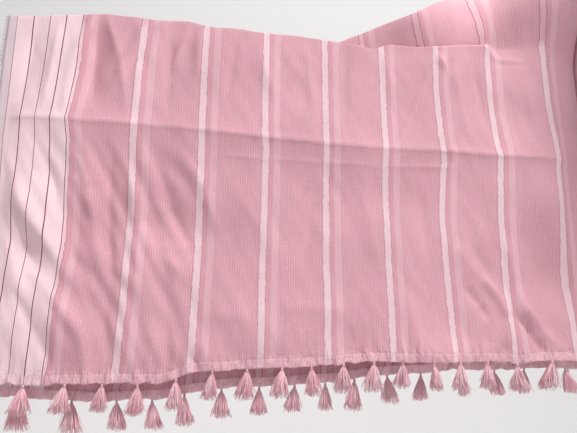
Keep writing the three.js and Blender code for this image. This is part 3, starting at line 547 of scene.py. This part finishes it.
for height, (strength, deep) in ((weave, WEAVE_RELIEF), (raised, RIBBON_RELIEF), (puckers, PUCKER_RELIEF)):
    relief = {"Height": height, "Strength": strength, "Distance": deep * MM}
    if bump is not None:
        relief["Normal"] = bump
    bump = put(tree, "ShaderNodeBump", relief)
tree.links.new(toned.outputs[2], shader.inputs["Base Color"])
tree.links.new(bump.outputs[0], shader.inputs["Normal"])

# Past its right end the cloth turns back into pleats. The spread piece carries on round the corner,
# so that the two pieces of mesh meet where the corner hides it.
spread_x = np.linspace(SPREAD_START, SPREAD_END, SPREAD_COLUMNS)
sections = [spread_section(float(x)) for x in spread_x]
spread_points = np.array([s[0] for s in sections])
spread_across = np.array([s[1] for s in sections])
spread_along = np.array([s[2] for s in sections])
CORNER = 28  # radius of the turn into the first pleat
PANELS = 18
STEP_TOP, STEP_HEM = 8, 15  # from one panel to the next
PLEAT_FRONT, PLEAT_BACK, PLEAT_UNEVEN = 28, 126, 9
WAVE_HIGH, WAVE_STEPS, WAVE_TALL, WAVE_SEED = 1.2, 7, 60, 21.0  # how the panels wave
PLEAT_STEPS = {"corner": 9, "straight": 4, "bend": 6}
CORNER_COLUMNS = 11


def uneven(n):
    """A fixed uneven value between 0 and 1 for each whole number, as in the part's source."""
    spun = math.sin(n * 12.9898) * 43758.5453
    return spun - math.floor(spun)


def pleat_path(step):
    """The pleats seen from above: X, Y and direction at each place."""
    places = []
    for i in range(PLEAT_STEPS["corner"] + 1):
        a = i / PLEAT_STEPS["corner"] * math.pi / 2
        x, y = SPREAD_END + CORNER * math.sin(a), JOIN_Y + CORNER * (1 - math.cos(a))
        places.append((x, y, math.cos(a), math.sin(a)))
    half = step / 2
    for k in range(PANELS):
        way = 1 if k % 2 == 0 else -1
        x = SPREAD_END + CORNER + k * step
        to = PLEAT_UNEVEN * (uneven(k + 3) - 0.5) + (PLEAT_BACK - half if way > 0 else PLEAT_FRONT + half)
        start = places[-1][1]
        for i in range(1, PLEAT_STEPS["straight"] + 1):
            places.append((x, mix(start, to, i / PLEAT_STEPS["straight"]), 0, way))
        if k == PANELS - 1:
            break
        for i in range(1, PLEAT_STEPS["bend"] + 1):
            a = i / PLEAT_STEPS["bend"] * math.pi
            turned_x, turned_y = x + half - half * math.cos(a), to + way * half * math.sin(a)
            places.append((turned_x, turned_y, math.sin(a), way * math.cos(a)))
    return np.array(places)


# The last section of the spread stretch is carried along the path, so the two meet in one line.
last_section = spread_points[-1]
join_top, join_hem = last_section[:, 2].max(), last_section[0, 2]
pleat_rows = []
for _, y, z in last_section:
    lean = float(leans(SPREAD_END, z, join_top))
    from_path = JOIN_Y - (y - lean)
    down = float(np.clip((join_top - z) / (join_top - join_hem), 0, 1))
    path = pleat_path(mix(STEP_TOP, STEP_HEM, down))
    count = np.arange(len(path))
    waving = np.array([noise.noise((i / WAVE_STEPS, z / WAVE_TALL, WAVE_SEED)) for i in count])
    off = from_path + waving * WAVE_HIGH * ease(2, 10, count) * ease(0, 0.2, down)
    pleat_rows.append(np.column_stack([path[:, 0] + path[:, 3] * off, path[:, 1] - path[:, 2] * off + lean,
                                       np.full(len(path), z)]))
turned_points = np.stack(pleat_rows, axis=1)
middle = pleat_path((STEP_TOP + STEP_HEM) / 2)
turned_u = SPREAD_END + ALONG_START + np.concatenate(
    [[0], np.cumsum(np.hypot(np.diff(middle[:, 0]), np.diff(middle[:, 1])))])
turned_along = np.repeat(turned_u[:, None], turned_points.shape[1], axis=1)
cloth_thick = np.full(spread_points.shape[1], float(CLOTH_THICK))
cloth_thick[:len(HEM)] = HEM[:, 1]
cloth_thick[-len(HEM):] = HEM[::-1, 1]
spread_points = np.concatenate([spread_points, turned_points[1:CORNER_COLUMNS + 1]])
spread_along = np.concatenate([spread_along, turned_along[1:CORNER_COLUMNS + 1]])
spread_across = np.concatenate([spread_across, np.repeat(spread_across[-1:], CORNER_COLUMNS, axis=0)])
spread_cloth = shell("spread_cloth", spread_points, spread_along, spread_across, cloth_thick)
spread_cloth.data.materials.append(cloth_material)
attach(spread_cloth, "root")
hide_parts("spread_fall")

# Body cloth, pleated stretch
# The rest of the same cloth, laid back and forth in 18 panels past the picture's right edge. It is
# gathered at the top fold, so that it fans out toward the hem.
pleat_points, pleat_along = turned_points[CORNER_COLUMNS:], turned_along[CORNER_COLUMNS:]
pleat_across = np.repeat(spread_across[-1:], len(pleat_points), axis=0)
pleated_cloth = shell("pleated_cloth", pleat_points, pleat_along, pleat_across, cloth_thick)
pleated_cloth.data.materials.append(cloth_material)
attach(pleated_cloth, "root")
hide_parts("pleated_fall")

# Hem stitching
# Pale cotton sewing thread along the top of each turned hem, in small straight stitches that are
# sunk into the cloth, on the outer side of the front and back layers. The thread is a little matt.
STITCH_HEIGHT = 10.2
STITCH_LONG, STITCH_APART, STITCH_THICK = 2.3, 3.6, 0.42
STITCH_PROUD = 0.05  # middle of the thread over the cloth's face
stitch_thread, shader = material("cotton_sewing_thread", {
    "Base Color": srgb("EBC4CD"), "Roughness": 0.6, "Sheen Weight": 0.2})

stitch_tree = bpy.data.node_groups.new("straight_stitches", "GeometryNodeTree")
for name, kind, way in (("Line", "NodeSocketGeometry", "INPUT"), ("Apart", "NodeSocketFloat", "INPUT"),
                        ("Long", "NodeSocketFloat", "INPUT"), ("Thick", "NodeSocketFloat", "INPUT"),
                        ("Stitches", "NodeSocketGeometry", "OUTPUT")):
    stitch_tree.interface.new_socket(name=name, in_out=way, socket_type=kind)
given = put(stitch_tree, "NodeGroupInput")
curve = put(stitch_tree, "GeometryNodeMeshToCurve", {"Mesh": given.outputs["Line"]})
spaced = put(stitch_tree, "GeometryNodeResampleCurve", {"Curve": curve, "Length": given.outputs["Apart"]},
             mode="LENGTH")
tangent = put(stitch_tree, "GeometryNodeInputTangent")
turned = put(stitch_tree, "FunctionNodeAlignRotationToVector", {"Vector": tangent}, axis="Z")
radius = put(stitch_tree, MATH, {0: given.outputs["Thick"], 1: 0.5}, operation="MULTIPLY")
one = put(stitch_tree, "GeometryNodeMeshCylinder",
          {"Vertices": 5, "Side Segments": 1, "Radius": radius, "Depth": given.outputs["Long"]})
placed = put(stitch_tree, "GeometryNodeInstanceOnPoints",
             {"Points": spaced, "Instance": one, "Rotation": turned})
real = put(stitch_tree, "GeometryNodeRealizeInstances", {"Geometry": placed})
painted = put(stitch_tree, "GeometryNodeSetMaterial", {"Geometry": real, "Material": stitch_thread})
put(stitch_tree, "NodeGroupOutput", {"Stitches": painted})


def stitched(name, points, layer):
    """Stitches along one layer's hem: layer is 0 for the front hem and -1 for the back one."""
    facing_out = facing(points)
    across = np.linalg.norm(np.diff(points, axis=1), axis=2).cumsum(axis=1)
    row = int(np.argmin(np.abs(across[0] - STITCH_HEIGHT))) + 1
    if layer:
        row = points.shape[1] - 1 - row
    line = points[:, row] + facing_out[:, row] * (cloth_thick[row] / 2 + STITCH_PROUD)
    mesh = bpy.data.meshes.new(name + "_line")
    mesh.from_pydata((line * MM).tolist(), [(i, i + 1) for i in range(len(line) - 1)], [])
    carrier = bpy.data.objects.new(name + "_line", mesh)
    bpy.context.scene.collection.objects.link(carrier)
    modifier = carrier.modifiers.new("stitches", "NODES")
    modifier.node_group = stitch_tree
    for item in stitch_tree.interface.items_tree:
        value = {"Apart": STITCH_APART, "Long": STITCH_LONG, "Thick": STITCH_THICK}.get(item.name)
        if value:
            modifier[item.identifier] = value * MM
    seen = carrier.evaluated_get(bpy.context.evaluated_depsgraph_get())
    made = bpy.data.objects.new(name, bpy.data.meshes.new_from_object(seen))
    bpy.data.objects.remove(carrier)  # and its modifier with it
    bpy.context.scene.collection.objects.link(made)
    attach(made, "root")
    return made


spread_stitches = [stitched("front_hem_stitches", spread_points, 0),
                   stitched("back_hem_stitches", spread_points, -1)]
pleat_stitches = [stitched("pleat_front_hem_stitches", pleat_points, 0),
                  stitched("pleat_back_hem_stitches", pleat_points, -1)]

# Tassels
# Bundles of soft pink cotton thread knotted through the hem's edge every 47 mm or so. Each hangs
# from a small wound knot and splays out, and its ends are cut unevenly. The threads are mixed pinks
# with a soft sheen, so that a tassel looks streaky.
TASSEL_LONG, TASSEL_PITCH = 43, 47
SHORTEST = 0.8  # the shortest tassel, as a share of the longest
THREAD_LENGTHS = (0.8, 1.02)  # of the threads in a tassel, as shares of its length
ROUNDED = 0.08  # how much shorter the outer threads are
SHORT_THREADS, SHORT_LENGTH = 12, 0.72  # one thread in so many is cut short, to this share
KNOT_AT, KNOT_TOP, KNOT_WIDE, KNOT_DEEP = 3.6, 2.5, 1.5, 0.85
KNOT_TURNS, KNOT_PITCH = 4, 0.75
ROOTED = 0.2  # how far up in the hem the threads start
THREAD_WIDE, WOUND_WIDE = 0.48, 0.42  # half widths, drawn thicker than they are
TIED, SPLAY, SPLAY_POWER = 0.75, 1.85, 0.75
STRAY_SHARE, STRAY_REACH = 0.1, 1.25
CURL, CURL_TURNS = 3.6, (2, 9)
DEEP = 0.55  # a tassel's depth, as a share of its width
SPREAD_THREADS, PLEAT_THREADS = 130, 30  # threads in a tassel
# Columns: X of the knot, lean of the tassel to the right, and half its width at the ends.
FRONT_TASSELS = np.array([
    (28, 0.02, 8), (73, -0.05, 10), (123, -0.14, 9), (167, -0.1, 8), (210, -0.02, 9), (256, 0.02, 9),
    (301, -0.12, 8), (345, -0.12, 9), (390, -0.12, 10), (428, 0.08, 9), (471, -0.06, 9), (512, -0.1, 10),
    (550, -0.12, 9), (590, 0.06, 8), (629, -0.08, 9), (669, -0.1, 9), (713, 0.0, 10), (764, -0.25, 10),
    (812, 0.28, 11),
], float)
BACK_TASSELS = np.array([
    (12, 0.0, 8), (62, 0.06, 10), (128, 0.05, 10), (183, 0.12, 9), (227, 0.1, 9), (267, 0.05, 8),
    (314, 0.02, 9), (363, 0.0, 8), (410, -0.1, 9), (451, 0.0, 8), (491, -0.08, 9), (536, 0.1, 9),
    (581, -0.1, 8), (643, 0.0, 8), (690, 0.1, 9), (733, -0.1, 9), (789, 0.25, 11),
], float)
PLEAT_FIRST = {"front": 18, "back": 41}
PLEAT_LAST = 6  # no tassel nearer to the end than this
PLEAT_SPREAD = 4.2
tassel_thread, shader = material("tassel_cotton_thread", {
    "Roughness": 0.62, "Sheen Weight": 0.3, "Sheen Roughness": 0.5})
tree = tassel_thread.node_tree
tone = put(tree, "ShaderNodeAttribute", attribute_name="tone")
tinted = put(tree, BLEND, {0: tone.outputs["Fac"], 6: srgb("F2A3B3"), 7: srgb("FFDDE3")}, data_type="RGBA")
tree.links.new(tinted.outputs[2], shader.inputs["Base Color"])


def threads_mesh(name, paths, widths, tones, material):
    """Three-sided threads: paths is threads by places by 3, widths the half width at each place."""
    count, places = paths.shape[:2]
    way = np.gradient(paths, axis=1)
    way /= np.maximum(np.linalg.norm(way, axis=2, keepdims=True), 1e-9)
    side = np.cross(way, (0.31, 0.87, 0.38))
    side /= np.maximum(np.linalg.norm(side, axis=2, keepdims=True), 1e-9)
    other = np.cross(way, side)
    rings = [paths + (side * math.cos(a) + other * math.sin(a)) * widths[..., None]
             for a in (0, 2 * math.pi / 3, 4 * math.pi / 3)]
    vertices = np.stack(rings, axis=2).reshape(-1, 3) * MM
    first = (np.arange(count)[:, None, None] * places + np.arange(places - 1)[None, :, None]) * 3
    k = np.arange(3)[None, None, :]
    after = (k + 1) % 3
    sides = np.stack([first + k, first + after, first + after + 3, first + k + 3], -1).reshape(-1, 4)
    start = np.arange(count)[:, None] * places * 3
    ends = np.concatenate([start + [[2, 1, 0]], start + (places - 1) * 3 + [[0, 1, 2]]])
    mesh = bpy.data.meshes.new(name)
    mesh.from_pydata(vertices.tolist(), [], sides.tolist() + ends.tolist())
    mesh.polygons.foreach_set("use_smooth", np.ones(len(mesh.polygons), bool))
    shade = mesh.attributes.new("tone", "FLOAT", "POINT")
    shade.data.foreach_set("value", np.repeat(tones, places * 3).astype(np.float32))
    mesh.materials.append(material)
    made = bpy.data.objects.new(name, mesh)
    bpy.context.scene.collection.objects.link(made)
    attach(made, "root")
    return made


def tassel_paths(rng, root, way, lean, spread, threads, places):
    """Threads of one tassel: from the root through the knot, then splayed and uneven."""
    across = np.cross(way, (0, 0, 1))
    hang = np.array((0, 0, -1.0)) + way * lean
    hang /= np.linalg.norm(hang)
    reach = np.sqrt(rng.uniform(0.02, 1, threads))
    reach = reach * np.where(rng.uniform(0, 1, threads) < STRAY_SHARE, STRAY_REACH, 1.0)
    long = TASSEL_LONG * rng.uniform(SHORTEST, 1) * rng.uniform(*THREAD_LENGTHS, threads)
    long = long * (1 - ROUNDED * reach ** 2)
    long[: threads // SHORT_THREADS] *= SHORT_LENGTH
    down = np.outer(long, np.linspace(0, 1, places) ** 1.25)  # closer places near the knot
    after = np.clip((down - KNOT_AT) / (TASSEL_LONG - KNOT_AT), 0, 1.2)
    angle = rng.uniform(0, 2 * math.pi, threads)
    out = reach[:, None] * (TIED + SPLAY * (spread - TIED) * after ** SPLAY_POWER)
    curl = rng.uniform(-1, 1, (threads, 1)) * CURL
    curl = curl * np.sin(after * rng.uniform(*CURL_TURNS, (threads, 1))) * after
    sideways = out * np.cos(angle)[:, None] + curl
    outward = out * np.sin(angle)[:, None] * DEEP + curl / 2
    return root + down[..., None] * hang + sideways[..., None] * way + outward[..., None] * across


def knot_paths(root, way, lean):
    """The wound knot: a few turns of the same thread close round the bundle."""
    across = np.cross(way, (0, 0, 1))
    hang = np.array((0, 0, -1.0)) + way * lean
    hang /= np.linalg.norm(hang)
    a = np.linspace(0, 2 * math.pi, 9)
    ring = np.outer(np.cos(a), way) * KNOT_WIDE + np.outer(np.sin(a), across) * KNOT_WIDE * KNOT_DEEP
    return np.stack([root + hang * (KNOT_TOP + KNOT_PITCH * n) + ring for n in range(KNOT_TURNS)])


def tassel_row(names, edge, places_at, threads, places, seed, replaced):
    """All tassels of one edge as two meshes, threads and knots. places_at has place, lean and spread."""
    rng = np.random.default_rng(seed)
    bundles, knots = [], []
    for at, lean, spread in places_at:
        root = np.array([np.interp(at, edge[:, 0], edge[:, 1 + i]) for i in range(3)])
        ahead = np.array([np.interp(at + 2, edge[:, 0], edge[:, 1 + i]) for i in range(3)])
        way = (ahead - root) * (1, 1, 0)
        way /= np.linalg.norm(way)
        root = root + (0, 0, ROOTED)
        bundles.append(tassel_paths(rng, root, way, lean, spread, threads, places))
        knots.append(knot_paths(root, way, lean))
    paths, turns = np.concatenate(bundles), np.concatenate(knots)
    widths = np.full(paths.shape[:2], THREAD_WIDE) * np.linspace(1, 0.8, places)
    loose = threads_mesh(names[0], paths, widths, rng.uniform(0, 1, len(paths)) ** 0.8, tassel_thread)
    wound_widths = np.full(turns.shape[:2], WOUND_WIDE)
    wound = threads_mesh(names[1], turns, wound_widths, rng.uniform(0.3, 0.9, len(turns)), tassel_thread)
    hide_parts(replaced)
    return [loose, wound]


def lengthwise(points, row):
    """An edge of the pleats as rows of length along it, X, Y and Z."""
    line = points[:, row]
    length = np.concatenate([[0], np.linalg.norm(np.diff(line, axis=0), axis=1).cumsum()])
    return np.column_stack([length, line])


def spaced_along(edge, first):
    at = np.arange(first, edge[-1, 0] - PLEAT_LAST, TASSEL_PITCH)
    return np.column_stack([at, np.zeros(len(at)), np.full(len(at), PLEAT_SPREAD)])


front_edge = np.column_stack([spread_points[:, 0, 0], spread_points[:, 0]])
back_edge = np.column_stack([spread_points[:, -1, 0], spread_points[:, -1]])
front_tassels = tassel_row(("front_tassel_threads", "front_tassel_knots"), front_edge, FRONT_TASSELS,
                           SPREAD_THREADS, 7, 11, "front_tassels")
back_tassels = tassel_row(("back_tassel_threads", "back_tassel_knots"), back_edge, BACK_TASSELS,
                          SPREAD_THREADS, 7, 12, "back_tassels")
pleat_front_edge, pleat_back_edge = lengthwise(pleat_points, 0), lengthwise(pleat_points, -1)
pleat_front_tassels = tassel_row(("pleat_front_tassel_threads", "pleat_front_tassel_knots"), pleat_front_edge,
                                 spaced_along(pleat_front_edge, PLEAT_FIRST["front"]), PLEAT_THREADS, 6, 13,
                                 "pleat_tassels_front")
pleat_back_tassels = tassel_row(("pleat_back_tassel_threads", "pleat_back_tassel_knots"), pleat_back_edge,
                                spaced_along(pleat_back_edge, PLEAT_FIRST["back"]), PLEAT_THREADS, 6, 14,
                                "pleat_tassels_back")

# Frayed ends
# The two short ends aren't hemmed: the last few millimetres are unravelled, so loose threads of the
# cloth stand past the end. They are greyish pink, matt and very thin, like the cloth's own thread.
FRAY_APART, FRAY_LONG, FRAY_WIDE = 1.3, (2.5, 6.5), 0.2
FRAY_DROOP, FRAY_ASIDE = 0.6, 0.25  # at most, as shares of a thread's length
FRAY_ROOTED = 0.5  # how far a thread starts inside the cloth
fray_thread, shader = material("loose_cloth_thread", {"Roughness": 0.7})
tree = fray_thread.node_tree
tone = put(tree, "ShaderNodeAttribute", attribute_name="tone")
tinted = put(tree, BLEND, {0: tone.outputs["Fac"], 6: srgb("A98E96"), 7: srgb("E6D2D7")}, data_type="RGBA")
tree.links.new(tinted.outputs[2], shader.inputs["Base Color"])


def frayed(name, end, before, seed):
    """Loose threads past one end. end and before are its last two sections."""
    rng = np.random.default_rng(seed)
    length = np.concatenate([[0], np.linalg.norm(np.diff(end, axis=0), axis=1).cumsum()])
    at = np.arange(1, length[-1] - 1, FRAY_APART)
    at = at + rng.uniform(-0.5, 0.5, len(at))
    root = np.column_stack([np.interp(at, length, end[:, i]) for i in range(3)])
    out = root - np.column_stack([np.interp(at, length, before[:, i]) for i in range(3)])
    out /= np.linalg.norm(out, axis=1, keepdims=True)
    long = rng.uniform(*FRAY_LONG, len(at))
    t = np.linspace(0, 1, 5)
    droop = np.outer(rng.uniform(0.0, FRAY_DROOP, len(at)) * long, t ** 2)
    aside = np.outer(rng.uniform(-FRAY_ASIDE, FRAY_ASIDE, len(at)) * long, t ** 1.5)
    paths = root[:, None] - FRAY_ROOTED * out[:, None] + np.outer(long, t)[..., None] * out[:, None]
    paths = paths + droop[..., None] * (0, 0, -1.0) + aside[..., None] * np.cross(out, (0, 0, 1))[:, None]
    widths = np.full(paths.shape[:2], FRAY_WIDE) * np.linspace(1, 0.6, 5)
    return threads_mesh(name, paths, widths, rng.uniform(0, 1, len(at)), fray_thread)


left_fray = frayed("left_end_threads", spread_points[0], spread_points[1], 21)
right_fray = frayed("right_end_threads", pleat_points[-1], pleat_points[-2], 22)

# Floor, backdrop and light
# A plain pale paper sweep under and behind the cloth. The key light is above and to the right, with
# a weak wide light low in front, one along the foot of the sweep, and a small spot on the raised
# part of the top fold. The paper is matt, so that it shows soft shadows and no highlight.
FLOOR_Z, WALL_Y, SWEEP = -1.25, 1.6, 0.5
profile = [(-4.5, FLOOR_Z)] + [(WALL_Y - SWEEP + SWEEP * math.sin(a), FLOOR_Z + SWEEP - SWEEP * math.cos(a))
                               for a in np.linspace(0, math.pi / 2, 17)] + [(WALL_Y, 3.4)]
sweep_vertices = [(x, y, z) for x in (-5, 6) for y, z in profile]
count = len(profile)
sweep_faces = [(i, i + count, i + count + 1, i + 1) for i in range(count - 1)]
sweep_mesh = bpy.data.meshes.new("paper_sweep")
sweep_mesh.from_pydata(sweep_vertices, [], sweep_faces)
for face in sweep_mesh.polygons:
    face.use_smooth = True
sweep = bpy.data.objects.new("paper_sweep", sweep_mesh)
bpy.context.scene.collection.objects.link(sweep)
paper, shader = material("matt_paper", {"Base Color": srgb("E7E5E5"), "Roughness": 0.9})
sweep_mesh.materials.append(paper)


def light(name, kind, place, target, **settings):
    """A light of one kind at a place, aimed at a target, with its settings."""
    data = bpy.data.lights.new(name, kind)
    for key, value in settings.items():
        setattr(data, key, value)
    made = bpy.data.objects.new(name, data)
    bpy.context.scene.collection.objects.link(made)
    made.location = place
    made.rotation_euler = (Vector(target) - Vector(place)).to_track_quat("-Z", "Y").to_euler()


light("key", "AREA", (1.6, -2.0, 3.0), (0.4, 0, -0.2), shape="RECTANGLE", size=0.7, size_y=0.7, energy=165)
light("low_fill", "AREA", (0.3, -2.2, -0.9), (0.4, 0, -0.3), shape="RECTANGLE", size=2.0, size_y=1.2,
      energy=8.5)
light("wall_wash", "AREA", (0.25, 0.5, -1.15), (0.25, 1.6, -0.5), shape="RECTANGLE", size=3.2, size_y=0.3,
      energy=6)
light("raised_fold_spot", "SPOT", (0.5, -1.7, -0.1), (0.655, -0.03, 0.08), spot_size=0.1, spot_blend=1.0,
      shadow_soft_size=0.03, energy=95)
# A black card over the right side, out of the picture, shades the turn into the pleats.
CARD = [(0.985, -0.45, 0.42), (1.6, -0.45, 0.42), (1.6, -0.05, 0.62), (0.86, -0.05, 0.62)]
card_mesh = bpy.data.meshes.new("shade_card")
card_mesh.from_pydata(CARD, [], [(0, 1, 2, 3)])
card = bpy.data.objects.new("shade_card", card_mesh)
bpy.context.scene.collection.objects.link(card)
black_card, shader = material("black_card", {"Base Color": srgb("202022")})
card_mesh.materials.append(black_card)
world = bpy.data.worlds.new("studio")
world.use_nodes = True
background = world.node_tree.nodes["Background"]
background.inputs["Color"].default_value = srgb("F4F4F6")
background.inputs["Strength"].default_value = 0.22
bpy.context.scene.world = world
bpy.context.scene.view_settings.view_transform = "Standard"
